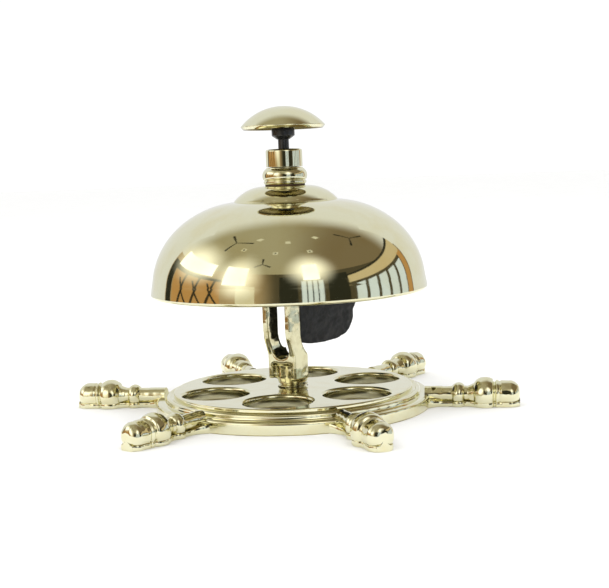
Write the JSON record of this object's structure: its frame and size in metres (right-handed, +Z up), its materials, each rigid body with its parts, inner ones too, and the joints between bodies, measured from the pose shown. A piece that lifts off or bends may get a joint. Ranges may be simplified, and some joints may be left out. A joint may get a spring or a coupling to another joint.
{
  "type": "desk service bell",
  "caption": "Domed brass service bell on a ship's-wheel base, rung by a push button that swings a hammer inside the bell.",
  "frame": {"origin": "centre of the wheel's underside, on the surface it stands on", "axes": "+Z up along the bell's axis; +X towards the hammer's head and along one handle"},
  "size_m": [0.1504, 0.133, 0.1002],
  "materials": {
    "polished_brass": "mirror polished, pale",
    "cast_brass": "cast and polished, slightly uneven",
    "steel": "plain turned",
    "black_steel": "blackened, half gloss",
    "cast_iron": "rough casting, black",
    "fibre": "matt dark brown fibre"
  },
  "bodies": {
    "stand": {"wheel_base": "polished_brass", "base_washer": "steel", "base_nut": "steel", "bracket": "cast_brass", "pivot_pin": "steel", "pin_clip": "steel", "bell_stem": "steel", "stem_locknut": "steel", "seat_nut": "steel", "seat_washer": "fibre", "bell": "polished_brass", "crown_washer": "fibre", "bell_nut": "polished_brass", "guide_nut": "polished_brass", "return_spring": "steel"},
    "plunger": {"plunger_rod": "black_steel", "rod_clip": "steel", "stop_collar": "black_steel", "push_button": "polished_brass"},
    "hammer": {"hammer": "cast_iron"}
  },
  "joints": [
    {"name": "plunger_press", "type": "slide", "parent": "stand", "child": "plunger", "axis": [0, 0, -1], "range_m": [0, 0.003], "stiffness_N_per_m": 300, "springref_m": -0.002, "deforming": ["return_spring"]},
    {"name": "hammer_swing", "type": "hinge", "parent": "stand", "child": "hammer", "pos_m": [0.005, 0, 0.045], "axis": [0, -1, 0], "range_deg": [0, 34.4]}
  ],
  "couplings": [
    {"joint": "hammer_swing", "follows": "plunger_press", "rad_per_m": 200}
  ]
}
